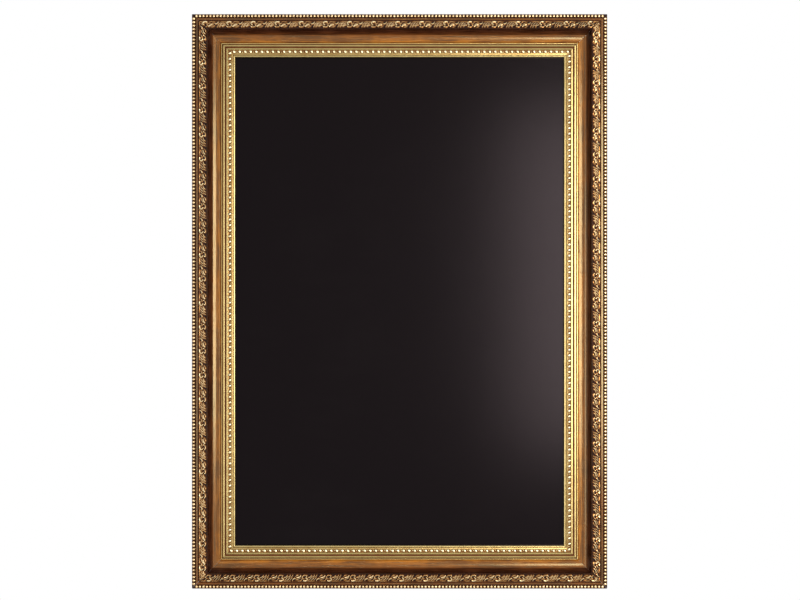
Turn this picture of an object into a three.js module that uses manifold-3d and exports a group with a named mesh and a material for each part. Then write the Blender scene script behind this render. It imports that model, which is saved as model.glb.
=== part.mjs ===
import * as THREE from "three";
import { mergeVertices } from "three/addons/utils/BufferGeometryUtils.js";
import Module from "manifold-3d";

// Wall chalkboard: a black panel in a carved and gilded wooden frame that hangs by two D-rings.
// Lengths are millimetres. X runs to the right as seen from the front, Z is up, the front faces -Y and
// the wall is the plane y = 0. The origin lies on the wall, midway between the two hooks.

// Overall size, seen from the front
const FRAME_WIDTH = 694;
const FRAME_HEIGHT = 960;

// Clearances
const SEAT_GAP = 0.3; // between two pieces that touch in the real board
const HOLE_GAP = 0.3; // round a screw in its hole, on the radius
const RING_GAP = 0.35; // round a ring's bar in its knuckle, on the radius
const BACKING_SIDE_GAP = 1; // backing board to the frame's rebate wall
const SLIP_SIDE_GAP = 0.5; // slip to the frame's rebate wall
const PANEL_SIDE_GAP = 0.7; // panel to the slip's rebate wall
const OVERRUN = 1; // how far a cut runs past the surface it starts from

// Section of the frame rail, from its outer edge inwards. Heights are over the frame's back.
const PEARLS = { width: 6.8, height: 13, rise: 3 };
const FILLET = { gap: 0.8, width: 2.4, height: 14.4 };
const LEAF_BAND = { gap: 2.2, width: 14.7, foot: 14.2, swell: 0.8 }; // swell: bulge over a straight slope
const RIDGE = { height: 34, chamfer: 1.9 };
const COVE = { width: 14.2, flat: 4.4, height: 17 }; // the steep side's width, then the flat bottom's
const LIP = { slope: 2.6, land: 1, top: 20.3, underside: 14 };
const LIP_COVER = 5; // how far the lip covers the slip

// Section of the gilt slip that shows, from the lip inwards
const SLIP_NOSE = { width: 1.7, height: 21 };
const SLIP_FILLETS = { width: 3, height: 23.4, rise: 1.5, groove: 2.3, grooveHeight: 22.4 };
const LEAF_ROW = { width: 6, height: 21.8, rise: 2 };
const CAVETTO = { width: 2.2, height: 17.8 };
const SIGHT_ROLL = { width: 3, rise: 1.5 };
const SLIP_COVER = 5.7; // how far the slip's sight edge covers the panel

// Boards
const BACKING_THICKNESS = 3;
const PANEL_THICKNESS = 6;

// Screws
const SHANK_RADIUS = 1.6;
const SHANK_LENGTH = 13;
const SHANK_POINT = 2.6;
const HEAD_RADIUS = 3.3;
const HEAD_RIM = 0.9;
const HEAD_HEIGHT = 1.9;
const RECESS = { length: 3, width: 0.8, depth: 1 };
const SCREW_SIDES = 16;

// V-nails
const NAIL_LEG = 6;
const NAIL_SHEET = 0.6;
const NAIL_HEIGHT = 10;
const NAIL_INSETS = { outer: 13, inner: 31 };

// Turn buttons
const BUTTON_WIDTH = 10;
const BUTTON_THICKNESS = 1.2;
const BUTTON_REACH = 22; // screw to the far end
const BUTTON_CORNER = 3;
const BUTTON_FROM_REBATE = 8; // rebate wall to the screw
const BUTTON_FROM_CORNER = { long: 190, short: 197 }; // along a long and a short side of the frame

// Hangers
const HANGER_ABOVE_CENTRE = 230; // frame's centre to the rings' hinge axis
const HANGER_INSET = 23;
const STRAP_WIDTH = 12;
const STRAP_SHEET = 1;
const STRAP_SCREW_BELOW_RING = 2.85; // hanging ring's lowest point to the upper screw's head
const STRAP_SCREW_PITCH = 15;
const STRAP_END = 8; // lower screw to the strap's lower end
const KNUCKLE_END = -78; // degrees at which the curled sheet stops, with 180 at the frame
const WIRE_RADIUS = 1.25;
const RING_HALF_WIDTH = 8.6; // to the wire's centre line
const RING_CORNER = 2;
const RING_LEG = 5; // hinge axis to the start of the bow
const RING_BUTT_GAP = 0.4; // between the wire's two ends, inside the knuckle
const RING_STEPS = 60;

// Wall bumpers
const BUMPER_HEIGHT = 6; // frame's back to the wall
const BUMPER_RADIUS = 6.35;
const BUMPER_TOP_RADIUS = 4.9;
const BUMPER_SHOULDER = 1.4;
const BUMPER_INSET = 20;
const BUMPER_FROM_CORNER = 70;
const BUMPER_SIDES = 24;

// Distances in from the frame's outer edge that follow from the sections
const filletInset = PEARLS.width + FILLET.gap;
const leafInset = filletInset + FILLET.width + LEAF_BAND.gap;
const ridgeInset = leafInset + LEAF_BAND.width;
const coveInset = ridgeInset + RIDGE.chamfer;
const coveFlatInset = coveInset + COVE.width;
const lipSlopeInset = coveFlatInset + COVE.flat;
const lipInset = lipSlopeInset + LIP.slope + LIP.land;
const rebateInset = lipInset - LIP_COVER;
const slipOuter = rebateInset + SLIP_SIDE_GAP;
const slipNose = lipInset + SEAT_GAP;
const firstFilletInset = slipNose + SLIP_NOSE.width;
const secondFilletInset = firstFilletInset + SLIP_FILLETS.width + SLIP_FILLETS.groove;
const leafRowInset = secondFilletInset + SLIP_FILLETS.width;
const sightRollInset = leafRowInset + LEAF_ROW.width + CAVETTO.width;
const sightInset = sightRollInset + SIGHT_ROLL.width;
const slipRebate = sightInset - SLIP_COVER;

// Other places that follow from the sizes above
const slipBack = BACKING_THICKNESS + SEAT_GAP;
const panelBack = slipBack + SEAT_GAP;
const panelFront = panelBack + PANEL_THICKNESS;
const buttonInset = rebateInset - BUTTON_FROM_REBATE;
const buttonUp = FRAME_HEIGHT / 2 - BUTTON_FROM_CORNER.long;
const buttonAcross = FRAME_WIDTH / 2 - BUTTON_FROM_CORNER.short;
const ringDrop = RING_LEG + RING_HALF_WIDTH + WIRE_RADIUS; // hinge axis to the hanging ring's lowest point
const upperScrewBelow = ringDrop + STRAP_SCREW_BELOW_RING + HEAD_RADIUS;
const strapScrewsBelow = { upper: upperScrewBelow, lower: upperScrewBelow + STRAP_SCREW_PITCH };
const strapLength = strapScrewsBelow.lower + STRAP_END; // hinge axis to the strap's lower end
const knuckleInner = WIRE_RADIUS + RING_GAP;
const knuckleOuter = knuckleInner + STRAP_SHEET;
const ringReach = RING_LEG + RING_HALF_WIDTH - WIRE_RADIUS; // hinge axis to where the hook bears
const mitrePull = SEAT_GAP / 2 * Math.SQRT2; // shortens each end, so that two mitres stay SEAT_GAP apart

const carvedWood = new THREE.MeshStandardMaterial({ color: 0x96703c, roughness: 0.55, metalness: 0.1 });
const giltWood = new THREE.MeshStandardMaterial({ color: 0xbfa057, roughness: 0.35, metalness: 0.4 });
const boardPaint = new THREE.MeshStandardMaterial({ color: 0x1c1816, roughness: 0.85, metalness: 0 });
const hardboard = new THREE.MeshStandardMaterial({ color: 0x6a4a2e, roughness: 0.8, metalness: 0 });
const zincPlate = new THREE.MeshStandardMaterial({ color: 0xb4b8bc, roughness: 0.4, metalness: 0.9 });
const brass = new THREE.MeshStandardMaterial({ color: 0xb8964e, roughness: 0.4, metalness: 0.9 });
const blackRubber = new THREE.MeshStandardMaterial({ color: 0x1b1b1c, roughness: 0.9, metalness: 0 });

function addPiece(parent, name, geometry, material) {
  const mesh = new THREE.Mesh(geometry, material);
  mesh.name = name;
  parent.add(mesh);
  return mesh;
}

const wasm = await Module();
wasm.setup();

function toSolid(geometry) {
  const bare = geometry.clone();
  bare.deleteAttribute("normal");
  bare.deleteAttribute("uv");
  const merged = mergeVertices(bare, 1e-4);
  const vertProperties = new Float32Array(merged.attributes.position.array);
  const triVerts = new Uint32Array(merged.index.array);
  return new wasm.Manifold(new wasm.Mesh({ numProp: 3, vertProperties, triVerts }));
}

function fromSolid(solid) {
  const mesh = solid.getMesh();
  const geometry = new THREE.BufferGeometry();
  geometry.setAttribute("position", new THREE.BufferAttribute(new Float32Array(mesh.vertProperties), 3));
  geometry.setIndex(new THREE.BufferAttribute(new Uint32Array(mesh.triVerts), 1));
  geometry.computeVertexNormals();
  return geometry;
}

function cutAway(geometry, cutters) {
  let solid = toSolid(geometry);
  for (const cutter of cutters) {
    solid = solid.subtract(toSolid(cutter));
  }
  return fromSolid(solid);
}

function arc(centreA, centreB, radiusA, radiusB, fromDegrees, toDegrees, steps) {
  const points = [];
  for (let i = 0; i <= steps; i += 1) {
    const angle = THREE.MathUtils.degToRad(fromDegrees + (toDegrees - fromDegrees) * i / steps);
    points.push([centreA + radiusA * Math.cos(angle), centreB + radiusB * Math.sin(angle)]);
  }
  return points;
}

// Half an ellipse over a strip of a section, from the strip's outer side
function halfRound(inset, width, height, rise, steps) {
  return arc(inset + width / 2, height, width / 2, rise, 180, 0, steps);
}

function outline(points) {
  return new THREE.Shape(points.map(([a, b]) => new THREE.Vector2(a, b)));
}

// The frame's own group: its back is the plane y = 0 there, and its centre is the group's origin.
const board = new THREE.Group();
const frame = new THREE.Group();
frame.position.set(0, -BUMPER_HEIGHT, -(HANGER_ABOVE_CENTRE + ringReach));
board.add(frame);

// The four sides. In a side's group, X runs along the side, Z inwards from the outer edge, and the
// group's origin is the middle of the outer edge. up is the sign of X that points upwards.
const SIDES = [
  { name: "bottom", length: FRAME_WIDTH, turn: 0, x: 0, z: -FRAME_HEIGHT / 2 },
  { name: "left", length: FRAME_HEIGHT, turn: Math.PI / 2, x: -FRAME_WIDTH / 2, z: 0, up: -1 },
  { name: "top", length: FRAME_WIDTH, turn: Math.PI, x: 0, z: FRAME_HEIGHT / 2 },
  { name: "right", length: FRAME_HEIGHT, turn: -Math.PI / 2, x: FRAME_WIDTH / 2, z: 0, up: 1 },
];

// Places of the turn buttons along one side
function buttonPlaces(side) {
  if (side.up) {
    return { upper: side.up * buttonUp, middle: 0, lower: -side.up * buttonUp };
  }
  const right = side.name === "bottom" ? 1 : -1;
  return { left: -right * buttonAcross, right: right * buttonAcross };
}

// A straight moulding, mitred at 45 degrees at both ends. Its section is given as points of distance in
// from the outer edge and height over the frame's back.
function mitredMoulding(section, length) {
  const geometry = new THREE.ExtrudeGeometry(outline(section), { depth: 1, steps: 1, bevelEnabled: false });
  const position = geometry.attributes.position;
  for (let i = 0; i < position.count; i += 1) {
    const inset = position.getX(i);
    const height = position.getY(i);
    const end = position.getZ(i) > 0.5 ? 1 : -1;
    position.setXYZ(i, end * (length / 2 - inset - mitrePull), -height, inset);
  }
  geometry.computeVertexNormals();
  return geometry;
}

// Frame rail: pearl row on the outer edge, fillet, leaf band up to the ridge, cove, and the lip over the
// slip. The pearls are a plain half round here and the leaves a plain slope.
function leafSlope(steps) {
  const points = [];
  for (let i = 0; i <= steps; i += 1) {
    const t = i / steps;
    const height = THREE.MathUtils.lerp(LEAF_BAND.foot, RIDGE.height, t);
    points.push([leafInset + t * LEAF_BAND.width, height + LEAF_BAND.swell * Math.sin(Math.PI * t)]);
  }
  return points;
}

const coveRise = RIDGE.height - RIDGE.chamfer - COVE.height;
const frameSection = [
  [rebateInset, 0],
  [0, 0],
  ...halfRound(0, PEARLS.width, PEARLS.height, PEARLS.rise, 10),
  [filletInset, FILLET.height],
  [filletInset + FILLET.width, FILLET.height],
  ...leafSlope(8),
  ...arc(coveFlatInset, COVE.height + coveRise, COVE.width, coveRise, 180, 270, 12),
  [lipSlopeInset, COVE.height],
  [lipInset - LIP.land, LIP.top],
  [lipInset, LIP.top],
  [lipInset, LIP.underside],
  [rebateInset, LIP.underside],
];

// A screw's pilot hole, from the rail's back
function pilotHole(along, inset) {
  const radius = SHANK_RADIUS + HOLE_GAP;
  const depth = OVERRUN + SHANK_LENGTH;
  const hole = new THREE.CylinderGeometry(radius, radius, depth, SCREW_SIDES);
  hole.translate(along, OVERRUN - depth / 2, inset);
  return hole;
}

// A V-nail seen from behind: two legs at a right angle, the bend on the mitre, the legs along the rails.
// It is made at the origin, with its top at y = 0 and the legs along awayX and awayZ.
function nailBody(awayX, awayZ, allRound, height) {
  const near = -allRound;
  const far = NAIL_LEG + allRound;
  const sheet = NAIL_SHEET + allRound;
  const bend = [[near, near], [far, near], [far, sheet], [sheet, sheet], [sheet, far], [near, far]];
  const shape = outline(bend.map(([a, b]) => [awayX * a, awayZ * b]));
  const geometry = new THREE.ExtrudeGeometry(shape, { depth: height, bevelEnabled: false });
  geometry.rotateX(Math.PI / 2);
  return geometry;
}

function nailPockets(length) {
  const pockets = [];
  for (const end of [-1, 1]) {
    for (const inset of Object.values(NAIL_INSETS)) {
      const pocket = nailBody(-end, 1, SEAT_GAP, OVERRUN + NAIL_HEIGHT + SEAT_GAP);
      pocket.translate(end * (length / 2 - inset), OVERRUN, inset);
      pockets.push(pocket);
    }
  }
  return pockets;
}

function frameRail(side) {
  const cutters = nailPockets(side.length);
  for (const along of Object.values(buttonPlaces(side))) {
    cutters.push(pilotHole(along, buttonInset));
  }
  if (side.up) {
    for (const below of Object.values(strapScrewsBelow)) {
      cutters.push(pilotHole(side.up * (HANGER_ABOVE_CENTRE - below), HANGER_INSET));
    }
  }
  return cutAway(mitredMoulding(frameSection, side.length), cutters);
}

// Gilt slip: a smaller moulding, dropped into the rebate from behind. Its shoulder goes under the
// frame's lip. Inwards from the lip come two fillets, the leaf-tip row, a cavetto and the sight roll.
const slipSection = [
  [slipRebate, slipBack],
  [slipOuter, slipBack],
  [slipOuter, LIP.underside - SEAT_GAP],
  [slipNose, LIP.underside - SEAT_GAP],
  [slipNose, SLIP_NOSE.height],
  ...halfRound(firstFilletInset, SLIP_FILLETS.width, SLIP_FILLETS.height, SLIP_FILLETS.rise, 6),
  [firstFilletInset + SLIP_FILLETS.width + SLIP_FILLETS.groove / 2, SLIP_FILLETS.grooveHeight],
  ...halfRound(secondFilletInset, SLIP_FILLETS.width, SLIP_FILLETS.height, SLIP_FILLETS.rise, 6),
  ...halfRound(leafRowInset, LEAF_ROW.width, LEAF_ROW.height, LEAF_ROW.rise, 6).slice(1),
  [leafRowInset + LEAF_ROW.width + CAVETTO.width / 2, CAVETTO.height],
  ...halfRound(sightRollInset, SIGHT_ROLL.width, CAVETTO.height, SIGHT_ROLL.rise, 6),
  [sightInset, panelFront + SEAT_GAP],
  [slipRebate, panelFront + SEAT_GAP],
];

// Screw: a domed head with a cross recess, its seat at y = 0, and a pointed shank
function screwBody() {
  const profile = [
    [0, -SHANK_LENGTH],
    [SHANK_RADIUS, -SHANK_LENGTH + SHANK_POINT],
    [SHANK_RADIUS, 0],
    [HEAD_RADIUS, 0],
    ...arc(0, HEAD_RIM, HEAD_RADIUS, HEAD_HEIGHT - HEAD_RIM, 0, 80, 3),
    [0, HEAD_HEIGHT],
  ];
  const body = new THREE.LatheGeometry(profile.map(([r, y]) => new THREE.Vector2(r, y)), SCREW_SIDES);
  const slots = [[RECESS.length, RECESS.width], [RECESS.width, RECESS.length]].map(([wide, tall]) => {
    const slot = new THREE.BoxGeometry(wide, 2 * RECESS.depth, tall);
    slot.translate(0, HEAD_HEIGHT, 0);
    return slot;
  });
  return cutAway(body, slots);
}

// Turn button: a flat oblong with its screw hole at the origin and its long end along +Z, over the
// backing board's edge. It lies between y = 0 and its thickness.
function buttonBody() {
  const half = BUTTON_WIDTH / 2;
  const end = BUTTON_REACH - BUTTON_CORNER;
  const side = half - BUTTON_CORNER;
  const plate = new THREE.Shape();
  plate.absarc(0, 0, half, Math.PI, 2 * Math.PI, false);
  plate.absarc(side, end, BUTTON_CORNER, 0, Math.PI / 2, false);
  plate.absarc(-side, end, BUTTON_CORNER, Math.PI / 2, Math.PI, false);
  plate.closePath();
  const hole = new THREE.Path();
  hole.absarc(0, 0, SHANK_RADIUS + HOLE_GAP, 0, 2 * Math.PI, true);
  plate.holes.push(hole);
  const geometry = new THREE.ExtrudeGeometry(plate, {
    depth: BUTTON_THICKNESS,
    bevelEnabled: false,
    curveSegments: 8,
  });
  geometry.rotateX(Math.PI / 2);
  geometry.translate(0, BUTTON_THICKNESS, 0);
  return geometry;
}

for (const side of SIDES) {
  const group = new THREE.Group();
  group.position.set(side.x, 0, side.z);
  group.rotation.y = side.turn;
  frame.add(group);
  addPiece(group, `frame_rail_${side.name}`, frameRail(side), carvedWood);
  addPiece(group, `gilt_slip_${side.name}`, mitredMoulding(slipSection, side.length), giltWood);
  for (const [place, along] of Object.entries(buttonPlaces(side))) {
    const button = addPiece(group, `turn_button_${side.name}_${place}`, buttonBody(), brass);
    button.position.set(along, SEAT_GAP, buttonInset);
    const screw = addPiece(group, `turn_button_screw_${side.name}_${place}`, screwBody(), zincPlate);
    screw.position.set(along, SEAT_GAP + BUTTON_THICKNESS + SEAT_GAP, buttonInset);
  }
}

// Chalk panel: a board with a matt black face, in the slip's own rebate
const panelInset = slipRebate + PANEL_SIDE_GAP;
const panelShape = new THREE.BoxGeometry(
  FRAME_WIDTH - 2 * panelInset,
  PANEL_THICKNESS,
  FRAME_HEIGHT - 2 * panelInset,
);
const panel = addPiece(frame, "chalk_panel", panelShape, boardPaint);
panel.position.y = -(panelBack + panelFront) / 2;

// Backing board: hardboard in the frame's rebate, flush with the back, over the slip and the panel
const backingInset = rebateInset + BACKING_SIDE_GAP;
const backingShape = new THREE.BoxGeometry(
  FRAME_WIDTH - 2 * backingInset,
  BACKING_THICKNESS,
  FRAME_HEIGHT - 2 * backingInset,
);
const backing = addPiece(frame, "backing_board", backingShape, hardboard);
backing.position.y = -BACKING_THICKNESS / 2;

// Corners: two V-nails across each mitre and, nearby, a rubber bumper against the wall
function bumperBody() {
  const profile = [
    [0, SEAT_GAP],
    [BUMPER_RADIUS, SEAT_GAP],
    [BUMPER_RADIUS, SEAT_GAP + BUMPER_SHOULDER],
    ...arc(BUMPER_TOP_RADIUS, BUMPER_SHOULDER, BUMPER_RADIUS - BUMPER_TOP_RADIUS,
      BUMPER_HEIGHT - BUMPER_SHOULDER, 30, 90, 3),
    [0, BUMPER_HEIGHT],
  ];
  return new THREE.LatheGeometry(profile.map(([r, y]) => new THREE.Vector2(r, y)), BUMPER_SIDES);
}

for (const [level, up] of [["top", 1], ["bottom", -1]]) {
  for (const [hand, across] of [["left", -1], ["right", 1]]) {
    for (const [depth, inset] of Object.entries(NAIL_INSETS)) {
      const body = nailBody(-across, -up, 0, NAIL_HEIGHT);
      const nail = addPiece(frame, `v_nail_${level}_${hand}_${depth}`, body, zincPlate);
      nail.position.set(across * (FRAME_WIDTH / 2 - inset), 0, up * (FRAME_HEIGHT / 2 - inset));
    }
    const bumper = addPiece(frame, `wall_bumper_${level}_${hand}`, bumperBody(), blackRubber);
    const x = across * (FRAME_WIDTH / 2 - BUMPER_FROM_CORNER);
    bumper.position.set(x, 0, up * (FRAME_HEIGHT / 2 - BUMPER_INSET));
  }
}

// Strap hanger: a strip of sheet with a round lower end and two screw holes, whose top curls into a
// knuckle. Its hinge axis is the X axis here, and it lies on the side of -Y.
function strapBody() {
  const half = STRAP_WIDTH / 2;
  const section = outline([
    [-knuckleOuter, -strapLength],
    ...arc(0, 0, knuckleOuter, knuckleOuter, 180, KNUCKLE_END, 20),
    ...arc(0, 0, knuckleInner, knuckleInner, KNUCKLE_END, 180, 20),
    [-knuckleInner, -strapLength],
  ]);
  const strip = new THREE.ExtrudeGeometry(section, { depth: STRAP_WIDTH, bevelEnabled: false });
  strip.translate(0, 0, -half);
  strip.applyMatrix4(new THREE.Matrix4().set(0, 0, 1, 0, 1, 0, 0, 0, 0, 1, 0, 0, 0, 0, 0, 1));
  const front = new THREE.Shape();
  front.moveTo(half, knuckleOuter + OVERRUN);
  front.lineTo(-half, knuckleOuter + OVERRUN);
  front.absarc(0, -strapLength + half, half, Math.PI, 2 * Math.PI, false);
  front.closePath();
  const depth = 2 * (knuckleOuter + OVERRUN);
  const envelope = new THREE.ExtrudeGeometry(front, { depth, bevelEnabled: false, curveSegments: 10 });
  envelope.rotateX(Math.PI / 2);
  envelope.translate(0, depth / 2, 0);
  let solid = toSolid(strip).intersect(toSolid(envelope));
  for (const below of Object.values(strapScrewsBelow)) {
    const radius = SHANK_RADIUS + HOLE_GAP;
    const hole = new THREE.CylinderGeometry(radius, radius, depth, SCREW_SIDES);
    hole.translate(0, 0, -below);
    solid = solid.subtract(toSolid(hole));
  }
  return fromSolid(solid);
}

// D-ring: bent wire whose two ends meet in the middle of its straight bar, inside the knuckle. The bar
// lies along the X axis and the bow hangs down.
function ringBody() {
  const corner = RING_HALF_WIDTH - RING_CORNER;
  const rightHalf = [
    [RING_BUTT_GAP / 2, 0],
    ...arc(corner, -RING_CORNER, RING_CORNER, RING_CORNER, 90, 0, 4),
    ...arc(0, -RING_LEG, RING_HALF_WIDTH, RING_HALF_WIDTH, 0, -90, 10),
  ];
  const leftHalf = rightHalf.slice(0, -1).map(([a, b]) => [-a, b]).reverse();
  const points = [...rightHalf, ...leftHalf].map(([a, b]) => new THREE.Vector3(a, 0, b));
  const path = new THREE.CurvePath();
  for (let i = 1; i < points.length; i += 1) {
    path.add(new THREE.LineCurve3(points[i - 1], points[i]));
  }
  const wire = new THREE.Shape();
  wire.absarc(0, 0, WIRE_RADIUS, 0, 2 * Math.PI, false);
  return new THREE.ExtrudeGeometry(wire, {
    extrudePath: path,
    steps: RING_STEPS,
    curveSegments: 5,
    bevelEnabled: false,
  });
}

for (const [hand, across] of [["left", -1], ["right", 1]]) {
  const x = across * (FRAME_WIDTH / 2 - HANGER_INSET);
  const strap = addPiece(frame, `strap_hanger_${hand}`, strapBody(), zincPlate);
  const ring = addPiece(frame, `d_ring_${hand}`, ringBody(), zincPlate);
  for (const piece of [strap, ring]) {
    piece.position.set(x, SEAT_GAP + knuckleOuter, HANGER_ABOVE_CENTRE);
  }
  for (const [place, below] of Object.entries(strapScrewsBelow)) {
    const screw = addPiece(frame, `strap_screw_${hand}_${place}`, screwBody(), zincPlate);
    screw.position.set(x, SEAT_GAP + STRAP_SHEET + SEAT_GAP, HANGER_ABOVE_CENTRE - below);
  }
}

export default board;
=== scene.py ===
import math

import bpy
import numpy as np
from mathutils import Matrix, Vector


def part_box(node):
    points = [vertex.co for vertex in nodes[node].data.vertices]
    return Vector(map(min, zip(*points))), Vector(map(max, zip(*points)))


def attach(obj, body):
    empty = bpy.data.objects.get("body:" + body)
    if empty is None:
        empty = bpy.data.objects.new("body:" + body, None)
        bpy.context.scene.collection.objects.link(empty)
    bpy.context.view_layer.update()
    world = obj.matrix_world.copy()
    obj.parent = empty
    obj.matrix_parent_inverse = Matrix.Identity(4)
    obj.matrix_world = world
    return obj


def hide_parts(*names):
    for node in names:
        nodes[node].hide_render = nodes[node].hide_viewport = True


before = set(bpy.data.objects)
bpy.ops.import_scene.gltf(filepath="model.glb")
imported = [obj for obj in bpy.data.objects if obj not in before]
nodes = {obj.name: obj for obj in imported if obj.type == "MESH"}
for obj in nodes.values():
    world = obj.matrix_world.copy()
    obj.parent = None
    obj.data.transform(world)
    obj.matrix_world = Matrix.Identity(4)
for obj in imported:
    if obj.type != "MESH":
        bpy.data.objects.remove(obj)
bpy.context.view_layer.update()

# Frame rails. Four lengths of one carved wooden moulding, mitred and nailed at the corners: a row of
# pearls, a fillet, a band of curled leaves up to the ridge, a cove and a narrow lip. The carving and the
# lip are leaf gold over brown, rubbed where it stands proud, which is partly a painted highlight, and
# glazed dark in the hollows, which is partly painted shade; the fillet and the cove are stained wood.
MM = 0.001
FRAME_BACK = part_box("frame_rail_left")[1].y
LEFT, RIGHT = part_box("frame_rail_left")[0].x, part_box("frame_rail_right")[1].x
BOTTOM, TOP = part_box("frame_rail_bottom")[0].z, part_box("frame_rail_top")[1].z
CENTRE_X, CENTRE_Z = (LEFT + RIGHT) / 2, (BOTTOM + TOP) / 2
FRAME_WIDTH, FRAME_HEIGHT = RIGHT - LEFT, TOP - BOTTOM

# The sides run counterclockwise seen from the front. Each has the middle of its outer edge, its
# direction, its way inwards and its length
SIDES = {
    "bottom": ((CENTRE_X, BOTTOM), (1, 0), (0, 1), FRAME_WIDTH),
    "left": ((LEFT, CENTRE_Z), (0, -1), (1, 0), FRAME_HEIGHT),
    "top": ((CENTRE_X, TOP), (-1, 0), (0, -1), FRAME_WIDTH),
    "right": ((RIGHT, CENTRE_Z), (0, 1), (-1, 0), FRAME_HEIGHT),
}

# The moulding's section, in millimetres in from the outer edge and over the back. The two sides of a
# mitre stand 0.3 mm apart, and the dull strip under the ridge reaches in to where the shade ends
MITRE_PULL = 0.15 * math.sqrt(2)
PEARL_ROW = {"width": 6.8, "bed": 12.5, "pitch": 5.8, "across": 3.3, "along": 2.72, "rise": 3.2, "sunk": 0.25}
FILLET = [(7.0, 13.2), (7.05, 13.95), (7.2, 14.1), (10.1, 14.56), (10.3, 14.4), (10.5, 14.1), (10.6, 13.4)]
LEAF_BED = [(10.9, 13.2), (11.5, 13.2)]
LEAF_FOOT = (12.2, 14.2)
RIDGE = (26.9, 34.0)
COVE = {"from": 28.8, "to": 43.0, "top": 32.1, "low": 17.0}
LIP = {"slope_from": 47.4, "land_from": 50.0, "edge": 51.0, "top": 20.3, "underside": 14.0}
REBATE = 46.0
SHADE_END = 34.9

# Long faces run in so many steps along a side. An edge with a greater bend than the crease stays sharp,
# so the narrow faces of the fillets look flat, and each mirrors one lamp only
COARSE_STEPS = 24
CREASE = 32

# The finishes of a rail after its gilding, as numbers of its material slots. The slip has only the first
BARE, STAINED, SHADED = 1, 2, 3

# The leaf band. Its slope swells a little, and the carving's ground lies under that slope. The pattern is
# drawn on finer cells than the mesh has
LEAF_RISE, LEAF_ACROSS = RIDGE[1] - LEAF_FOOT[1], RIDGE[0] - LEAF_FOOT[0]
LEAF_RUN = math.hypot(LEAF_ACROSS, LEAF_RISE)
LEAF_STRETCH = LEAF_RUN / LEAF_ACROSS
LEAF_SWELL = 0.8
LEAF_REPEAT = 40.0
LEAF_GROUND = -0.9
LEAF_CELL = 0.62
PATTERN_CELL = 0.2

# One repeat of the leaf band. Places are millimetres along the rail and in from the band's foot, as
# the eye sees them from the front; then come the stroke's half widths at its two ends and its height
SCROLLS = [
    ([(0.2, 2.6), (2.6, 2.0), (5.2, 2.7), (6.8, 4.8), (6.2, 7.3), (4.4, 8.8)], 1.6, 1.0, 2.1),
    ([(21.0, 0.9), (21.6, 3.0), (23.0, 5.4), (25.3, 6.9), (27.0, 6.2)], 0.9, 1.3, 1.5),
    ([(27.8, 4.6), (30.4, 5.0), (33.0, 6.4), (35.2, 8.2)], 0.8, 1.3, 1.1),
    ([(29.0, 8.8), (31.8, 9.0), (34.4, 10.4), (36.2, 12.2)], 0.8, 1.4, 1.8),
    ([(6.4, 1.0), (10.6, 1.3), (15.0, 1.1), (19.0, 1.3)], 0.9, 0.6, 1.1),
    ([(8.0, 2.9), (9.8, 4.4), (11.8, 6.2), (13.2, 8.2)], 0.7, 1.1, 1.2),
    ([(12.2, 3.0), (14.2, 4.4), (16.2, 6.4), (17.6, 8.6)], 0.7, 1.2, 1.35),
    ([(16.4, 3.0), (18.4, 4.6), (20.2, 6.6), (21.4, 8.8)], 0.7, 1.1, 1.2),
    ([(8.2, 8.6), (10.2, 9.0), (12.4, 10.2), (14.0, 12.4)], 0.8, 1.2, 1.35),
    ([(13.4, 9.4), (15.6, 9.8), (17.6, 11.0), (19.0, 13.0)], 0.8, 1.1, 1.25),
    ([(18.4, 9.6), (20.4, 10.0), (22.0, 11.4), (22.8, 13.2)], 0.7, 1.0, 1.1),
    ([(36.6, 2.0), (34.0, 1.2), (30.6, 1.4), (27.0, 2.4)], 0.8, 0.7, 1.1),
    ([(36.0, 4.2), (37.6, 5.6), (39.6, 6.4), (41.6, 6.0)], 0.9, 0.8, 1.2),
    ([(7.0, 11.6), (4.6, 12.9), (1.4, 12.6), (-1.0, 11.4)], 1.0, 0.8, 1.2),
    ([(26.6, 9.4), (28.0, 11.4), (30.4, 12.9), (33.0, 13.2)], 0.8, 0.7, 1.1),
]

# Berries stand proud and pits go deep: place, half width, and height or depth
BERRIES = [(5.9, 11.9, 1.5, 1.7), (38.7, 9.6, 1.45, 1.7), (23.9, 3.4, 0.7, 0.5), (3.2, 5.3, 0.9, 0.8)]
PITS = [(24.8, 3.6, 1.7, 1.4), (25.0, 12.2, 2.1, 1.7), (1.6, 9.6, 1.9, 1.5), (38.2, 12.6, 1.6, 1.4),
        (30.3, 7.4, 1.3, 1.2), (19.2, 1.9, 1.4, 1.2), (3.4, 5.1, 1.5, 1.2), (33.6, 3.6, 1.5, 1.1),
        (9.0, 10.6, 1.2, 1.0), (0.3, 0.6, 1.6, 1.0), (38.8, 4.0, 1.4, 1.0), (7.4, 8.4, 1.3, 1.1)]

# A stroke is drawn in so many steps, has a soft edge past its half width, and thins to just over half
# of its width at its tips. Berries and pits are longer across the band, and pits leave high parts whole
STROKE_STEPS = 24
STROKE_EDGE = 1.35
STROKE_TIP, STROKE_BELLY = 0.55, 0.45
BERRY_SQUEEZE = 0.8
PIT_CEILING = 0.3


def bow(points):
    """A line through given points in short steps, between a rounded curve and straight pieces."""
    marks = np.linspace(0, 1, len(points))
    at = np.linspace(0, 1, STROKE_STEPS)
    points = np.array(points, float)
    spread, steepness, roundness = 0.75 / (len(points) - 1), 2.2, 0.6
    pull = np.exp(-((at[:, None] - marks[None, :]) / spread) ** 2 * steepness)
    pull /= pull.sum(1)[:, None]
    rounded = pull @ points
    straight = np.stack([np.interp(at, marks, points[:, k]) for k in range(points.shape[1])], 1)
    return roundness * rounded + (1 - roundness) * straight


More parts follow.
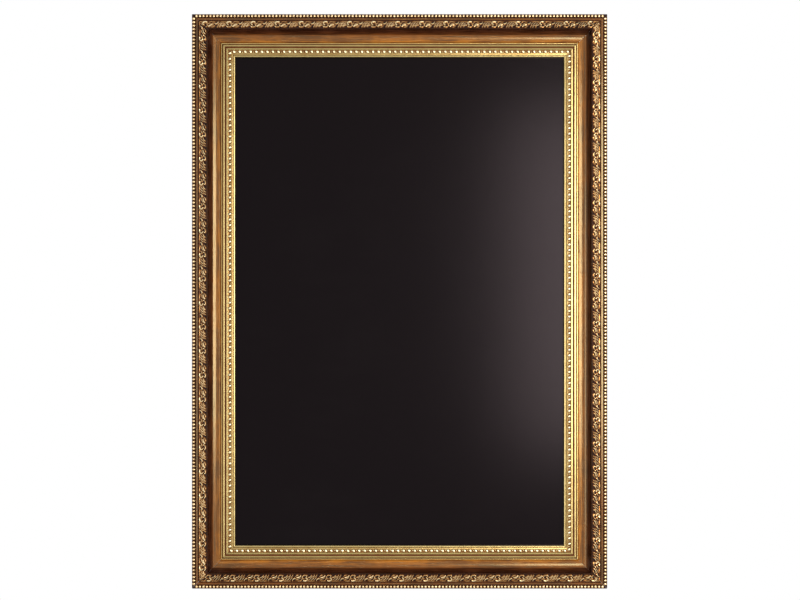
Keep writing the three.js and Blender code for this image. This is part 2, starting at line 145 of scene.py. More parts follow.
def leaf_pattern():
    """Height of one repeat over the band's plain slope, on a grid of small cells."""
    along = np.arange(0, LEAF_REPEAT, PATTERN_CELL)
    run = np.arange(0, LEAF_RUN + PATTERN_CELL, PATTERN_CELL)
    grid_along, grid_run = np.meshgrid(along, run, indexing="ij")
    height = np.full(grid_along.shape, LEAF_GROUND)

    def distance(place, inwards, squeeze=1.0):
        """From each cell to a place of the pattern, the short way round the repeat."""
        gap = (grid_along - place + LEAF_REPEAT / 2) % LEAF_REPEAT - LEAF_REPEAT / 2
        return np.hypot(gap, (grid_run - inwards * LEAF_STRETCH) * squeeze)

    def mound(reach, rise, power):
        """A rounded form over the ground that ends where reach is 1. A smaller power makes it fuller."""
        return (rise - LEAF_GROUND) * np.clip(1 - reach ** 2, 0, 1) ** power + LEAF_GROUND

    for points, first, last, rise in SCROLLS:
        for step, (place, inwards) in enumerate(bow(points)):
            share = step / (STROKE_STEPS - 1)
            width = STROKE_TIP + STROKE_BELLY * math.sin(math.pi * share) ** 0.5
            half = (first + (last - first) * share) * width
            reach = distance(place, inwards) / (half * STROKE_EDGE)
            height = np.maximum(height, mound(reach, rise, power=0.6))
    for place, inwards, half, rise in BERRIES:
        reach = distance(place, inwards, BERRY_SQUEEZE) / half
        height = np.maximum(height, mound(reach, rise, power=0.5))
    for place, inwards, half, depth in PITS:
        reach = distance(place, inwards, BERRY_SQUEEZE) / half
        height = height - depth * np.clip(1 - reach ** 2, 0, 1) ** 0.8 * (height < PIT_CEILING)
    return height


pattern = leaf_pattern()


def leaf_height(along, run):
    """The pattern's height at places along the rail and up the band, both in millimetres."""
    column = (along % LEAF_REPEAT) / PATTERN_CELL
    row = np.clip(run / PATTERN_CELL, 0, pattern.shape[1] - 1.001)
    left, low = np.floor(column).astype(int), np.floor(row).astype(int)
    past_left, past_low = column - left, row - low
    left, right = left % pattern.shape[0], (left + 1) % pattern.shape[0]
    under = pattern[left, low] * (1 - past_left) + pattern[right, low] * past_left
    over = pattern[left, low + 1] * (1 - past_left) + pattern[right, low + 1] * past_left
    return under * (1 - past_low) + over * past_low


def place_in_frame(side, along, inset, height):
    """Points of the row frame from millimetres along a side, in from its outer edge and over its back."""
    middle, direction, inwards, _ = SIDES[side]
    x = middle[0] + (direction[0] * along + inwards[0] * inset) * MM
    z = middle[1] + (direction[1] * along + inwards[1] * inset) * MM
    return np.stack([x, FRAME_BACK - height * MM, z], -1)


class Surface:
    """Points and faces of one moulding as it is built up, with the finish's own values at each point."""

    def __init__(self, side):
        self.side = side
        self.points, self.faces, self.values = [], [], []
        self.count = 0
        self.other_finish = []

    def add(self, along, inset, height, relief):
        """New points; gives their numbers in the shape of the values."""
        values = np.broadcast_arrays(along, inset, height, relief)
        shape = values[0].shape
        values = np.stack([np.ravel(value).astype(float) for value in values], -1)
        self.points.append(place_in_frame(self.side, values[:, 0], values[:, 1], values[:, 2]))
        self.values.append(values)
        first = self.count
        self.count += len(values)
        return np.arange(first, self.count).reshape(shape)

    def quads(self, grid):
        """Faces over a grid of point numbers."""
        corners = grid[:-1, :-1], grid[1:, :-1], grid[1:, 1:], grid[:-1, 1:]
        self.faces.extend(np.stack(corners, -1).reshape(-1, 4).tolist())

    def build(self, name, smooth_points=0):
        """The moulding as an object. Edges between its first smooth_points points are never sharp."""
        mesh = bpy.data.meshes.new(name)
        mesh.from_pydata(np.concatenate(self.points), [], self.faces)
        values = np.concatenate(self.values)
        for label, kind, key, numbers in (("grain", "FLOAT_VECTOR", "vector", values[:, :3] * MM),
                                          ("inset", "FLOAT", "value", values[:, 1]),
                                          ("relief", "FLOAT", "value", values[:, 3])):
            attribute = mesh.attributes.new(label, kind, "POINT")
            attribute.data.foreach_set(key, numbers.astype(np.float32).ravel())
        finish_index = np.zeros(len(mesh.polygons), np.int32)
        for first, last, slot in self.other_finish:
            finish_index[first:last] = slot
        mesh.polygons.foreach_set("material_index", finish_index)
        mesh.shade_smooth()
        mesh.set_sharp_from_angle(angle=math.radians(CREASE))
        ends = np.zeros(len(mesh.edges) * 2, np.int32)
        mesh.edges.foreach_get("vertices", ends)
        sharp = mesh.attributes.get("sharp_edge")
        flags = np.zeros(len(mesh.edges), bool)
        sharp.data.foreach_get("value", flags)
        flags[(ends.reshape(-1, 2) < smooth_points).all(1)] = False
        sharp.data.foreach_set("value", flags)
        moulding = bpy.data.objects.new(name, mesh)
        bpy.context.scene.collection.objects.link(moulding)
        return moulding


def dome(surface, along, inset, base, half_along, half_across, rise, turn=0.0, sides=14, rings=5, relief=1.0):
    """A closed half ellipsoid on a moulding, a little sunk, its long way turned by so many degrees. Its
    relief runs from below nought at the foot to the given value at the top, so the gilding darkens its
    foot with glaze and painted shade, and makes its top pale, partly as rubbed gilt and partly as a
    painted highlight."""
    tilt = np.linspace(0, math.pi / 2, rings + 1)[:-1]
    around = np.linspace(0, 2 * math.pi, sides, endpoint=False)
    ahead = half_along * np.cos(tilt)[:, None] * np.cos(around)[None, :]
    beside = half_across * np.cos(tilt)[:, None] * np.sin(around)[None, :]
    up = np.broadcast_to((rise * np.sin(tilt))[:, None], ahead.shape)
    cos, sin = math.cos(math.radians(turn)), math.sin(math.radians(turn))
    rings_of_points = surface.add(along + ahead * cos - beside * sin, inset + ahead * sin + beside * cos,
                                  base + up, relief * (2.0 * (up / rise) - 1.05))
    top = int(surface.add(np.array([along]), inset, base + rise, relief)[0])
    closed = np.concatenate([rings_of_points, rings_of_points[:, :1]], 1)
    surface.quads(closed.T[::-1])
    last = rings_of_points[-1].tolist()
    for k in range(sides):
        surface.faces.append([last[k], last[(k + 1) % sides], top])
    surface.faces.append(rings_of_points[0].tolist()[::-1])


def rail_section():
    """The rail's section without the leaf band, from the ridge round the back to the band's foot, with
    its relief and with the runs of it that have another finish than the gilding."""
    ridge = [(27.4, 33.8), (28.2, 33.05)]
    cove = [(COVE["to"] - (COVE["to"] - COVE["from"]) * math.cos(turn),
             COVE["top"] - (COVE["top"] - COVE["low"]) * math.sin(turn))
            for turn in np.linspace(0, math.pi / 2, 19)]
    lip = [(LIP["slope_from"] - 0.8, COVE["low"]), (LIP["slope_from"], COVE["low"] + 0.25),
           (LIP["land_from"] - 0.4, LIP["top"] - 0.35), (LIP["land_from"] + 0.1, LIP["top"]),
           (LIP["edge"] - 0.3, LIP["top"]), (LIP["edge"], LIP["top"] - 0.3), (LIP["edge"], LIP["underside"])]
    behind = [(REBATE, LIP["underside"]), (REBATE, 0), (0.4, 0), (0, 0.4)]
    pearl_bed = [(0, PEARL_ROW["bed"] - 0.5), (0.5, PEARL_ROW["bed"]),
                 (PEARL_ROW["width"] - 0.2, PEARL_ROW["bed"])]
    section = ridge + cove + lip + behind + pearl_bed + FILLET + LEAF_BED

    # Relief tells the finish what stands proud and where the glaze stays. The dark pearl bed and the dark
    # edges of the fillet and the leaf bed are partly painted shade between the parts
    hollows = dict(zip(pearl_bed, (-1.2, -1.3, -1.3)))
    hollows.update({FILLET[0]: -0.9, FILLET[-1]: -0.9, LEAF_BED[0]: -0.9, LEAF_BED[1]: -0.8})
    relief = [hollows.get(point, 0.2) for point in section]

    shade_end = next(number for number, (across, _) in enumerate(section) if across > SHADE_END)
    finishes = [(0, shade_end, SHADED), (shade_end, section.index(lip[2]), STAINED),
                (section.index(behind[0]), section.index(behind[2]), BARE),
                (section.index(FILLET[0]), section.index(FILLET[-1]), STAINED)]
    return np.array(section), np.array(relief), finishes


def rail(side):
    """One carved rail: the fine leaf band, the rest of the section in long faces, and the pearls."""
    length = SIDES[side][3] / MM
    surface = Surface(side)
    cells = int(round(length / COARSE_STEPS / LEAF_CELL))
    fine = np.linspace(-1, 1, COARSE_STEPS * cells + 1)
    coarse = fine[::cells]

    # The carving fades into the plain slope over these parts of the band, at its foot and at the ridge
    foot_part, ridge_part = 30, 26
    share = np.linspace(0, 1, int(round(LEAF_RUN / LEAF_CELL)) + 1)[:, None]
    inset = LEAF_FOOT[0] + LEAF_ACROSS * share
    height = LEAF_FOOT[1] + LEAF_RISE * share + LEAF_SWELL * np.sin(math.pi * share)
    along = fine[None, :] * (length / 2 - inset - MITRE_PULL)
    fade = np.clip(share * foot_part, 0, 1) * np.clip((1 - share) * ridge_part, 0, 1)
    relief = leaf_height(along, share * LEAF_RUN + 0 * along) * fade
    inset = inset - LEAF_RISE / LEAF_RUN * relief
    height = height + LEAF_ACROSS / LEAF_RUN * relief
    band = surface.add(fine[None, :] * (length / 2 - inset - MITRE_PULL), inset, height, relief)
    surface.quads(band)
    smooth_points = surface.count

    section, section_relief, finishes = rail_section()
    long_rows = surface.add(coarse[None, :] * (length / 2 - section[:, :1] - MITRE_PULL),
                            section[:, :1], section[:, 1:], section_relief[:, None])
    before = len(surface.faces)
    surface.quads(long_rows)
    for first, last, slot in finishes:
        surface.other_finish.append((before + first * COARSE_STEPS, before + last * COARSE_STEPS, slot))

    # One face joins each long step to the fine cells of the band, at the ridge and at the band's foot
    for step in range(COARSE_STEPS):
        cells_of_step = slice(step * cells, (step + 1) * cells + 1)
        surface.other_finish.append((len(surface.faces), len(surface.faces) + 1, SHADED))
        surface.faces.append(band[-1, cells_of_step].tolist()[::-1] + long_rows[0, step:step + 2].tolist())
        surface.faces.append(long_rows[-1, step:step + 2].tolist()[::-1] + band[0, cells_of_step].tolist())
    for end in (0, -1):
        mitre = band[:, end].tolist() + long_rows[:, end].tolist()
        surface.faces.append(mitre if end == 0 else mitre[::-1])

    # The row ends three quarters of a pitch before the mitre. No two pearls are quite the same
    middle = PEARL_ROW["width"] / 2
    row_end = length / 2 - middle - MITRE_PULL - 0.75 * PEARL_ROW["pitch"]
    count = int(round(2 * row_end / PEARL_ROW["pitch"])) + 1
    unevenness, turn = 0.03, 6
    hand = np.random.default_rng(len(side))
    for at in np.linspace(-row_end, row_end, count):
        size = 1 + hand.uniform(-unevenness, unevenness)
        dome(surface, at, middle, PEARL_ROW["bed"] - PEARL_ROW["sunk"], PEARL_ROW["along"] * size,
             PEARL_ROW["across"] * size, PEARL_ROW["rise"] * size, hand.uniform(-turn, turn), relief=1.5)
    return surface.build(f"carved_rail_{side}", smooth_points)


def tone(red, green, blue):
    """A colour written as it shows on a screen, 0 to 255, for a shader's colour socket."""
    return tuple(((level / 255 + 0.055) / 1.055) ** 2.4 if level > 10 else level / 255 / 12.92
                 for level in (red, green, blue)) + (1,)


class Nodes:
    """A node tree, with short ways to place nodes in it and to link them."""

    def __init__(self, tree):
        self.tree = tree

    def node(self, kind, **settings):
        placed = self.tree.nodes.new(f"ShaderNode{kind}")
        for key, value in settings.items():
            setattr(placed, key, value)
        return placed

    def feed(self, socket, value):
        """Links a socket of another node to this one, or sets a plain value on it."""
        if hasattr(value, "links"):
            self.tree.links.new(value, socket)
        else:
            socket.default_value = value

    def attribute(self, name, output="Fac"):
        return self.node("Attribute", attribute_name=name).outputs[output]

    def object_place(self):
        return self.node("TexCoord").outputs["Object"]

    def maths(self, operation, *values):
        placed = self.node("Math", operation=operation)
        for socket, value in zip(placed.inputs, values):
            self.feed(socket, value)
        return placed.outputs[0]

    def span(self, value, low, high, to_low=0.0, to_high=1.0, kind="SMOOTHSTEP"):
        """The value's place between low and high, smoothed unless told otherwise, held at both ends."""
        placed = self.node("MapRange", interpolation_type=kind)
        for key, number in zip(("Value", "From Min", "From Max", "To Min", "To Max"),
                               (value, low, high, to_low, to_high)):
            self.feed(placed.inputs[key], number)
        return placed.outputs["Result"]

    def blend(self, share, first, second, mode="MIX"):
        """Two colours mixed. Sockets 6 and 7 and output 2 are the node's own for colours."""
        placed = self.node("Mix", data_type="RGBA", blend_type=mode)
        self.feed(placed.inputs["Factor"], share)
        self.feed(placed.inputs[6], first)
        self.feed(placed.inputs[7], second)
        return placed.outputs[2]

    def ramp(self, value, *stops):
        placed = self.node("ValToRGB")
        elements = placed.color_ramp.elements
        while len(elements) < len(stops):
            elements.new(0.5)
        for element, (at, colour) in zip(elements, stops):
            element.position = at
            element.color = colour
        self.feed(placed.inputs[0], value)
        return placed.outputs[0]

    def noise(self, where, scale, detail=4.0, roughness=0.55, stretch=(1, 1, 1)):
        mapping = self.node("Mapping")
        self.feed(mapping.inputs["Scale"], stretch)
        self.feed(mapping.inputs["Vector"], where)
        placed = self.node("TexNoise")
        for key, value in (("Vector", mapping.outputs[0]), ("Scale", scale), ("Detail", detail),
                           ("Roughness", roughness)):
            self.feed(placed.inputs[key], value)
        return placed.outputs[0]

    def bump(self, height, distance, strength=1.0):
        placed = self.node("Bump")
        for key, value in (("Strength", strength), ("Distance", distance), ("Height", height)):
            self.feed(placed.inputs[key], value)
        return placed.outputs[0]

    def use(self, effect_group, **values):
        """An effect placed in this tree with values of its own; gives the effect's outputs."""
        placed = self.node("Group", node_tree=effect_group)
        for label, value in values.items():
            self.feed(placed.inputs[label], value)
        return placed.outputs


class Finish(Nodes):
    """One material. Its shader's sockets are fed by their names."""

    def __init__(self, name):
        self.material = bpy.data.materials.new(name)
        self.material.use_nodes = True
        super().__init__(self.material.node_tree)
        self.shader = self.tree.nodes["Principled BSDF"]

    def give(self, label, value):
        self.feed(self.shader.inputs[label], value)


def effect(name, inputs, outputs):
    """An empty shader node group with named sockets: the group, its inside, what it is given and gives."""
    group = bpy.data.node_groups.new(name, "ShaderNodeTree")
    for direction, sockets in (("INPUT", inputs), ("OUTPUT", outputs)):
        for label, kind in sockets.items():
            group.interface.new_socket(label, in_out=direction, socket_type=f"NodeSocket{kind}")
    given, result = group.nodes.new("NodeGroupInput"), group.nodes.new("NodeGroupOutput")
    return group, Nodes(group), given.outputs, result.inputs


# Gilding is the same work on the rails and the slip: leaf over a brown ground, toned with a dark glaze
# that stays in the hollows, and rubbed through on what stands proud. The dark in the hollows is also
# painted shade, and the pale rubbed colour on high parts is also a painted highlight
gilding, inside, given, result = effect(
    "gilding",
    {"Place": "Vector", "Relief": "Float", "Rubbed": "Color", "Leaf": "Color", "Ground": "Color",
     "Glaze": "Color"},
    {"Color": "Color", "Recess": "Float", "Cloud": "Float", "Grit": "Float"},
)
cloud = inside.noise(given["Place"], 55, 5)
grit = inside.noise(given["Place"], 900, 3)
uneven = inside.maths("MULTIPLY_ADD", inside.maths("SUBTRACT", cloud, 0.5), 0.9, given["Relief"])
# Low relief takes the glaze, which is partly painted shade; high relief takes the rubbed colour, which is
# partly a painted highlight
recess = inside.maths("SUBTRACT", 1.0, inside.span(uneven, -1.1, -0.1))
leaf = inside.blend(inside.span(uneven, -0.5, 0.5), given["Ground"], given["Leaf"])
leaf = inside.blend(inside.span(grit, 0.58, 0.72, 0.0, 0.35), leaf, given["Ground"])
leaf = inside.blend(inside.span(uneven, 0.5, 1.5), leaf, given["Rubbed"])
inside.feed(result["Color"], inside.blend(recess, leaf, given["Glaze"]))
inside.feed(result["Recess"], recess)
inside.feed(result["Cloud"], cloud)
inside.feed(result["Grit"], grit)

# Wood grain along a moulding, for the lacquered cove and for the bare wood behind
wood_grain, inside, given, result = effect(
    "wood_grain",
    {"Place": "Vector", "Light": "Color", "Dark": "Color"},
    {"Color": "Color", "Pores": "Float"},
)
figure = inside.noise(given["Place"], 400, 5, 0.65, (0.05, 1, 1))
fibre = inside.noise(given["Place"], 1500, 3, 0.6, (0.03, 1, 1))
patch = inside.noise(given["Place"], 28, 3)
streak = inside.maths("MULTIPLY_ADD", inside.maths("SUBTRACT", patch, 0.5), 0.4, figure)
coloured = inside.blend(inside.span(streak, 0.36, 0.64), given["Dark"], given["Light"])
pores = inside.span(fibre, 0.6, 0.7)
inside.feed(result["Color"], inside.blend(inside.maths("MULTIPLY", pores, 0.45), coloured, given["Dark"]))
inside.feed(result["Pores"], pores)

# Leaf gold on the carving and the pearls. Its rubbed colour is partly a painted highlight and its glaze
# partly painted shade. The lip is plain and paler
carved_gold = Finish("carved_gold")
gilt = carved_gold.use(gilding, Place=carved_gold.attribute("grain", "Vector"),
                       Relief=carved_gold.attribute("relief"), Rubbed=tone(246, 224, 176),
                       Leaf=tone(164, 114, 56), Ground=tone(104, 57, 32), Glaze=tone(44, 23, 17))
on_lip = carved_gold.span(carved_gold.attribute("inset"), 49.5, 49.9)
carved_gold.give("Base Color", carved_gold.blend(on_lip, gilt["Color"], tone(226, 196, 130)))
carved_gold.give("Metallic",
                 carved_gold.maths("SUBTRACT", 0.8, carved_gold.maths("MULTIPLY", gilt["Recess"], 0.7)))
carved_gold.give("Specular IOR Level", 0.15)
carved_gold.give("Roughness",
                 carved_gold.maths("ADD", carved_gold.maths("MULTIPLY", gilt["Cloud"], 0.16),
                                   carved_gold.maths("MULTIPLY_ADD", gilt["Recess"], 0.4, 0.14)))
carved_gold.give("Normal", carved_gold.bump(gilt["Grit"], 0.00012))


# The cove and the fillet are stained and lacquered. Right under the ridge the cove's colour is darkened
# nearly to black, and that strip is dull
def stained_finish(name, specular):
    finish = Finish(name)
    stained = finish.use(wood_grain, Place=finish.attribute("grain", "Vector"),
                         Light=tone(214, 142, 54), Dark=tone(128, 72, 25))
    inset = finish.attribute("inset")

    # The ramp darkens the stain most right under the ridge and less towards the lip. It runs from just
    # before the ridge, 26 mm in, to the lip's edge. Of the stained wood only the fillet lies less than 20 mm
    # in
    shade = finish.ramp(finish.span(inset, 26.0, LIP["edge"], kind="LINEAR"),
                        (0.0, tone(66, 60, 128)), (0.2, tone(84, 74, 134)), (0.33, tone(104, 84, 92)),
                        (0.42, tone(144, 116, 78)), (0.56, tone(160, 132, 82)), (0.68, tone(180, 156, 98)),
                        (0.84, tone(218, 198, 114)), (0.9, tone(236, 226, 190)), (1.0, tone(255, 255, 240)))
    on_fillet = finish.span(inset, 12.0, 20.0, 1.0, 0.0)
    shade = finish.blend(on_fillet, shade, tone(128, 100, 70))
    finish.give("Base Color", finish.blend(1.0, stained["Color"], shade, "MULTIPLY"))
    finish.give("Specular IOR Level", specular)
    finish.give("Specular Tint", tone(255, 230, 174))
    finish.give("Roughness", finish.maths("MULTIPLY_ADD", stained["Pores"], 0.1, 0.17))
    finish.give("Normal", finish.bump(finish.maths("MULTIPLY", stained["Pores"], -0.6), 0.00012))
    return finish


stained_wood = stained_finish("stained_wood", 0.95)
shaded_wood = stained_finish("shaded_wood", 0.15)

bare_wood = Finish("bare_wood")
bare = bare_wood.use(wood_grain, Place=bare_wood.attribute("grain", "Vector"),
                     Light=tone(196, 160, 112), Dark=tone(164, 122, 78))
bare_wood.give("Base Color", bare["Color"])
bare_wood.give("Roughness", 0.75)
bare_wood.give("Normal", bare_wood.bump(bare["Pores"], 0.0002, 0.5))

for side in SIDES:
    carved = rail(side)
    for finish in (carved_gold, bare_wood, stained_wood, shaded_wood):
        carved.data.materials.append(finish.material)
    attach(carved, "board")
    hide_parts(f"frame_rail_{side}")

# Gilt slip. A smaller moulding in four mitred lengths, dropped into the frame's rebate from behind: two
# fillets with a groove between them, a row of slanted drops with a pellet after each, a little hollow
# and the rounded sight edge. It is leaf gold over red clay, brighter than the frame.
SLIP_BACK = (FRAME_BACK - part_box("gilt_slip_left")[1].y) / MM
PANEL_FRONT = (FRAME_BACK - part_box("chalk_panel")[0].y) / MM
SLIP_OUTER = (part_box("gilt_slip_left")[0].x - LEFT) / MM
SIGHT = (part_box("gilt_slip_left")[1].x - LEFT) / MM
SLIP_SEAT = 0.3
SLIP_REBATE = SIGHT - 5.7
NOSE = LIP["edge"] + SLIP_SEAT
FIRST_FILLET, SECOND_FILLET, FILLET_WIDTH, FILLET_HEIGHT, FILLET_RISE = 53.0, 58.3, 3.0, 23.4, 1.35
GROOVE_WALL, GROOVE_FLOOR = 22.6, 22.2
DROP_ROW = {"from": 61.3, "to": 67.3, "bed": 21.4, "pitch": 9.2, "sunk": 0.3}
DROP = {"along": 2.5, "across": 3.4, "rise": 2.4, "turn": 24, "unevenness": 3}
PELLET = {"along": 1.2, "across": 1.9, "rise": 1.5, "turn": 18}
SIGHT_ROLL = 19.6


def sloped_fillet(start):
    """Points of one fillet: a flat top that leans outwards, with its relief for the finish."""
    across = (0, 0.2, 0.55, FILLET_WIDTH - 0.5, FILLET_WIDTH - 0.2, FILLET_WIDTH)
    over = (0, 0.6, 0.95, FILLET_RISE - 0.05, FILLET_RISE - 0.25, 0.5)
    return [(start + step, FILLET_HEIGHT + rise, 0.3 if rise > 0.7 else -0.1)
            for step, rise in zip(across, over)]


def slip(side):
    """One length of the slip, with its drops and pellets standing on their bed."""
    length = SIDES[side][3] / MM
    surface = Surface(side)
    bed = DROP_ROW["bed"]
    first_end, second_end = FIRST_FILLET + FILLET_WIDTH, SECOND_FILLET + FILLET_WIDTH
    # The relief darkens the nose's foot, the groove and the bed with glaze and painted shade, and makes the
    # sight edge paler, partly as a painted highlight
    shown = [(NOSE, LIP["underside"] - SLIP_SEAT, -1.0), (NOSE, 20.6, -0.8), (NOSE + 0.4, 21.0, -0.5)]
    shown += sloped_fillet(FIRST_FILLET)
    shown += [(first_end + 0.35, GROOVE_WALL, -0.9), ((first_end + SECOND_FILLET) / 2, GROOVE_FLOOR, -1.0),
              (SECOND_FILLET - 0.35, GROOVE_WALL, -0.9)]
    shown += sloped_fillet(SECOND_FILLET)
    shown += [(second_end + 0.25, bed + 0.3, 0.2), (second_end + 0.9, bed, -0.7),
              (DROP_ROW["to"] - 1.0, bed - 0.1, -0.7), (DROP_ROW["to"] - 0.7, bed, 0.1),
              (DROP_ROW["to"] - 0.4, bed, 0.0), (SIGHT - 3.2, bed - 0.45, 0.0),
              (SIGHT - 2.9, bed - 0.8, -0.1), (SIGHT - 2.6, SIGHT_ROLL, -0.2),
              (SIGHT - 2.4, SIGHT_ROLL + 0.1, -0.2)]
    shown += [(SIGHT + step, SIGHT_ROLL + rise, relief)
              for step, rise, relief in ((-2.2, 0.5, 0.2), (-1.7, 0.6, 0.3), (-0.9, 0.36, 0.6),
                                         (-0.3, 0.05, 0.6), (0, -0.3, 0.6))]
    hidden = [(SIGHT, PANEL_FRONT + SLIP_SEAT, 0), (SLIP_REBATE, PANEL_FRONT + SLIP_SEAT, 0),
              (SLIP_REBATE, SLIP_BACK, 0), (SLIP_OUTER, SLIP_BACK, 0),
              (SLIP_OUTER, LIP["underside"] - SLIP_SEAT, 0)]
    section = np.array(shown + hidden)
    steps = np.linspace(-1, 1, COARSE_STEPS + 1)
    rows = surface.add(steps[None, :] * (length / 2 - section[:, :1] - MITRE_PULL),
                       section[:, :1], section[:, 1:2], section[:, 2:])
    surface.quads(np.concatenate([rows, rows[:1]]))
    surface.other_finish.append((len(shown) * COARSE_STEPS, len(section) * COARSE_STEPS, BARE))
    surface.faces.append(rows[:, 0].tolist())
    surface.faces.append(rows[:, -1].tolist()[::-1])

    # A drop and its pellet share one pitch, and the last pellet is left out where the mitre would cut it
    middle = (DROP_ROW["from"] + DROP_ROW["to"]) / 2
    row_end = length / 2 - middle - MITRE_PULL
    count = int(round(2 * row_end / DROP_ROW["pitch"]))
    pitch = 2 * row_end / count
    foot = bed - DROP_ROW["sunk"]
    hand = np.random.default_rng(40 + len(side))
    for number in range(count):
        at = -row_end + (number + 0.5) * pitch
        if abs(at) < row_end - 0.2 * pitch:
            turn = DROP["turn"] + hand.uniform(-DROP["unevenness"], DROP["unevenness"])
            dome(surface, at - 0.25 * pitch, middle - 0.1, foot, DROP["along"], DROP["across"], DROP["rise"],
                 turn, sides=18, rings=6, relief=2.2)
            if abs(at + 0.28 * pitch) < row_end - 1.5:
                dome(surface, at + 0.28 * pitch, middle + 0.5, foot, PELLET["along"], PELLET["across"],
                     PELLET["rise"], PELLET["turn"], sides=12, rings=4, relief=1.0)
    return surface.build(f"gilt_slip_moulding_{side}")


# The slip's gilding: its rubbed colour is partly a painted highlight, and its glaze partly painted shade
slip_gold = Finish("slip_gold")
gilt = slip_gold.use(gilding, Place=slip_gold.attribute("grain", "Vector"),
                     Relief=slip_gold.attribute("relief"), Rubbed=tone(238, 226, 186),
                     Leaf=tone(180, 158, 104), Ground=tone(138, 98, 44), Glaze=tone(106, 57, 28))
slip_gold.give("Base Color", gilt["Color"])
slip_gold.give("Metallic",
               slip_gold.maths("SUBTRACT", 0.75, slip_gold.maths("MULTIPLY", gilt["Recess"], 0.7)))
slip_gold.give("Specular IOR Level", 0.15)
slip_gold.give("Roughness", slip_gold.maths("ADD", slip_gold.maths("MULTIPLY", gilt["Cloud"], 0.15),
                                            slip_gold.maths("MULTIPLY_ADD", gilt["Recess"], 0.35, 0.16)))
slip_gold.give("Normal", slip_gold.bump(gilt["Grit"], 0.00008))

for side in SIDES:
    gilt_side = slip(side)
    for finish in (slip_gold, bare_wood):
        gilt_side.data.materials.append(finish.material)
    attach(gilt_side, "board")
    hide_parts(f"gilt_slip_{side}")

# Chalk panel. A thin board painted with several coats of matt black board paint, rolled on, so that the
# face has a faint orange-peel and a trace of wiped chalk. Its edges lie in the slip's rebate.
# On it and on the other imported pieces, an edge stays sharp that bends more than so many degrees
PACKED_CREASE = 38

panel_paint = Finish("panel_paint")
spot = panel_paint.object_place()
wiped = panel_paint.noise(spot, 3.2, 5, 0.6, (1, 1, 0.7))
streaks = panel_paint.noise(spot, 26, 4, 0.6, (0.35, 1, 1))
peel = panel_paint.noise(spot, 900, 2)
dust = panel_paint.maths("MULTIPLY", panel_paint.span(wiped, 0.42, 0.75),
                         panel_paint.span(streaks, 0.35, 0.75))
panel_paint.give("Base Color", panel_paint.blend(panel_paint.maths("MULTIPLY", dust, 0.02),
                                                 tone(4, 2, 2), tone(70, 66, 64)))
panel_paint.give("Roughness", panel_paint.maths("MULTIPLY_ADD", wiped, 0.05, 0.155))
panel_paint.give("Specular IOR Level", 0.115)
panel_paint.give("Specular Tint", tone(255, 232, 244))
panel_paint.give("Normal", panel_paint.bump(peel, 0.00005, 0.6))


def dress(name, finish):
    """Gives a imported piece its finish, with smooth faces between its sharp edges."""
    mesh = nodes[name].data
    mesh.materials.clear()
    mesh.materials.append(finish.material)
    mesh.shade_smooth()
    mesh.set_sharp_from_angle(angle=math.radians(PACKED_CREASE))


dress("chalk_panel", panel_paint)

# Backing board. Brown hardboard laid over the panel's back and held there by the turn buttons. Its outer
# side is pressed smooth, with flecks of fibre.
hardboard = Finish("hardboard")
spot = hardboard.object_place()
fleck = hardboard.noise(spot, 420, 4, 0.65)
blotch = hardboard.noise(spot, 9, 4)
brown = hardboard.blend(hardboard.span(blotch, 0.3, 0.7), tone(112, 76, 46), tone(134, 94, 60))
flecked = hardboard.span(fleck, 0.55, 0.72, 0, 0.5)
hardboard.give("Base Color", hardboard.blend(flecked, brown, tone(74, 46, 26)))
hardboard.give("Roughness", hardboard.maths("MULTIPLY_ADD", fleck, 0.2, 0.5))
hardboard.give("Normal", hardboard.bump(fleck, 0.00006, 0.5))
dress("backing_board", hardboard)

# Metal hardware on the back: V-nails across the mitres, brass turn buttons over the backing's edge,
# strap hangers with their D-rings, and the screws that hold them. Screws, nails and hangers are zinc
# plated; the buttons are stamped brass sheet.
plated_metal, inside, given, result = effect(
    "plated_metal",
    {"Bright": "Color", "Dull": "Color"},
    {"Color": "Color", "Haze": "Float", "Scratch": "Float"},
)
spot = inside.object_place()
haze = inside.noise(spot, 160, 5, 0.6)
scratch = inside.noise(spot, 1400, 2, 0.5, (1, 1, 0.08))
inside.feed(result["Color"], inside.blend(inside.span(haze, 0.35, 0.7), given["Bright"], given["Dull"]))
inside.feed(result["Haze"], haze)
inside.feed(result["Scratch"], scratch)


def plated(name, bright, dull, base_roughness):
    finish = Finish(name)
    metal = finish.use(plated_metal, Bright=bright, Dull=dull)
    finish.give("Base Color", metal["Color"])
    finish.give("Metallic", 0.95)
    finish.give("Roughness", finish.maths("MULTIPLY_ADD", metal["Haze"], 0.3, base_roughness))
    finish.give("Normal", finish.bump(metal["Scratch"], 0.00003, 0.6))
    return finish


zinc = plated("zinc_plate", tone(196, 199, 203), tone(160, 163, 168), 0.18)
brass = plated("brass_sheet", tone(206, 170, 94), tone(158, 122, 62), 0.2)
for name in nodes:
    if name.startswith(("v_nail", "strap", "d_ring")) or "_screw_" in name:
        dress(name, zinc)
    elif name.startswith("turn_button"):
        dress(name, brass)

# Wall bumpers. Four buttons of black rubber, stuck to the frame's back near its corners. They keep the
# board off the wall and let it hang level.
rubber = Finish("rubber")
bloom = rubber.noise(rubber.object_place(), 300, 4)
rubber.give("Base Color", rubber.blend(rubber.span(bloom, 0.4, 0.7), tone(26, 26, 27), tone(48, 47, 46)))
rubber.give("Roughness", rubber.maths("MULTIPLY_ADD", bloom, 0.25, 0.6))
rubber.give("Normal", rubber.bump(bloom, 0.0001, 0.4))
for name in nodes:
    if name.startswith("wall_bumper"):
        dress(name, rubber)

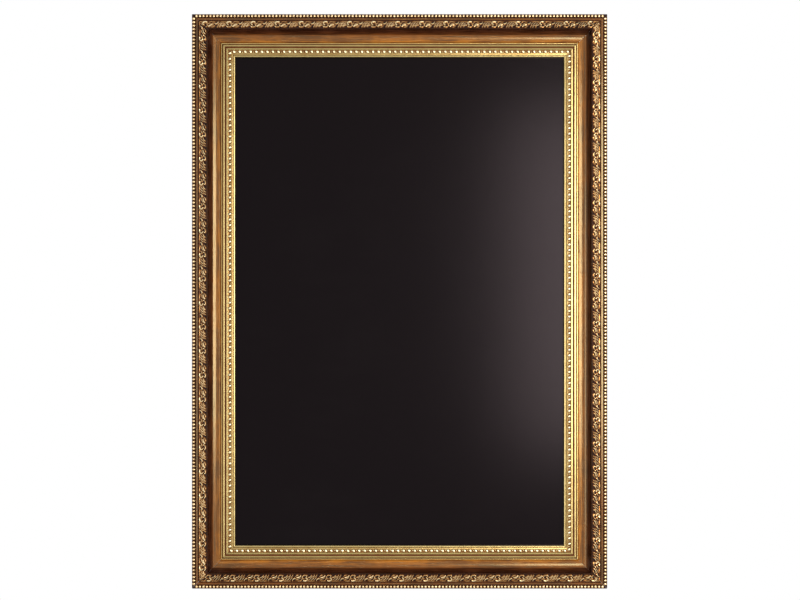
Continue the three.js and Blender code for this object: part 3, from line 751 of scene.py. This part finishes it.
# Camera and light, as in the picture: square on, a little below the board's middle, with one broad
# soft light at the right, a weaker one at the left, one behind the board, and a white studio round them.
# The picture is so wide at a plane just over the frame's back, and the board lies a little off its middle.
VIEW_DISTANCE = 3.06
VIEW_BELOW = 0.060
PICTURE_WIDTH = 1.3366
PICTURE_PLANE = 0.013
BOARD_LEFT, BOARD_LOW = 0.0007, 0.0023
SENSOR = 36.0
camera = bpy.data.objects.new("camera", bpy.data.cameras.new("camera"))
bpy.context.scene.collection.objects.link(camera)
camera.location = (CENTRE_X + BOARD_LEFT, FRAME_BACK - PICTURE_PLANE - VIEW_DISTANCE, CENTRE_Z - VIEW_BELOW)
camera.rotation_euler = (math.pi / 2, 0, 0)
camera.data.sensor_width = SENSOR
camera.data.lens = SENSOR * VIEW_DISTANCE / PICTURE_WIDTH
camera.data.shift_y = (VIEW_BELOW + BOARD_LOW) / PICTURE_WIDTH
bpy.context.scene.camera = camera


def lamp(name, spot, size, watts, colour=(1, 1, 1)):
    """A soft box that shines at the board's middle."""
    aim = Vector((CENTRE_X, FRAME_BACK, CENTRE_Z))
    light = bpy.data.lights.new(name, "AREA")
    light.shape = "RECTANGLE"
    light.size, light.size_y = size
    light.energy = watts
    light.color = colour
    box = bpy.data.objects.new(name, light)
    bpy.context.scene.collection.objects.link(box)
    box.location = spot
    box.rotation_euler = (aim - Vector(spot)).to_track_quat("-Z", "Y").to_euler()


lamp("right_softbox", (1.23, -1.945, CENTRE_Z + 0.12), (2.05, 1.0), 58, (1.0, 0.98, 0.91))
lamp("left_softbox", (-2.2, -1.5, CENTRE_Z - 0.13), (2.4, 1.25), 28, (0.97, 0.98, 1.0))
lamp("back_light", (0.6, 2.4, 1.2), (1.6, 1.6), 40)

# Floor. A plain pale studio floor under the hanging board, outside the picture. It takes the board's
# shadow, and shows as a pale grey in the white studio.
FLOOR_HALF, FLOOR_DROP = 1.3, 0.3
floor_mesh = bpy.data.meshes.new("studio_floor")
floor_mesh.from_pydata([(CENTRE_X + x, FRAME_BACK + y, BOTTOM - FLOOR_DROP)
                        for x, y in ((-FLOOR_HALF, -FLOOR_HALF), (FLOOR_HALF, -FLOOR_HALF),
                                     (FLOOR_HALF, FLOOR_HALF), (-FLOOR_HALF, FLOOR_HALF))],
                       [], [(0, 1, 2, 3)])
floor = bpy.data.objects.new("studio_floor", floor_mesh)
bpy.context.scene.collection.objects.link(floor)


def seen_rays(inside, plain, shown):
    """A strength that is shown for rays that show the background, and plain for rays that light."""
    ray = inside.node("LightPath").outputs
    shows = inside.maths("MAXIMUM", ray["Is Camera Ray"], ray["Is Glossy Ray"])
    shows = inside.maths("MAXIMUM", shows, ray["Is Transmission Ray"])
    return inside.span(shows, 0.0, 1.0, plain, shown, kind="LINEAR")


pale_floor = Finish("pale_floor")
speck = pale_floor.noise(pale_floor.object_place(), 60, 4)
pale_floor.give("Base Color", pale_floor.blend(speck, tone(226, 225, 223), tone(238, 238, 237)))
pale_floor.give("Roughness", 0.8)
pale_floor.give("Emission Color", tone(255, 255, 255))
pale_floor.give("Emission Strength", seen_rays(pale_floor, 0.0, 0.25))
floor.data.materials.append(pale_floor.material)

world = bpy.data.worlds.new("studio")
bpy.context.scene.world = world
world.use_nodes = True
studio = Nodes(world.node_tree)
background = studio.tree.nodes["Background"].inputs
studio.feed(background["Color"], (1, 1, 1, 1))
studio.feed(background["Strength"], seen_rays(studio, 0.08, 1.0))

bpy.context.scene.view_settings.view_transform = "Standard"
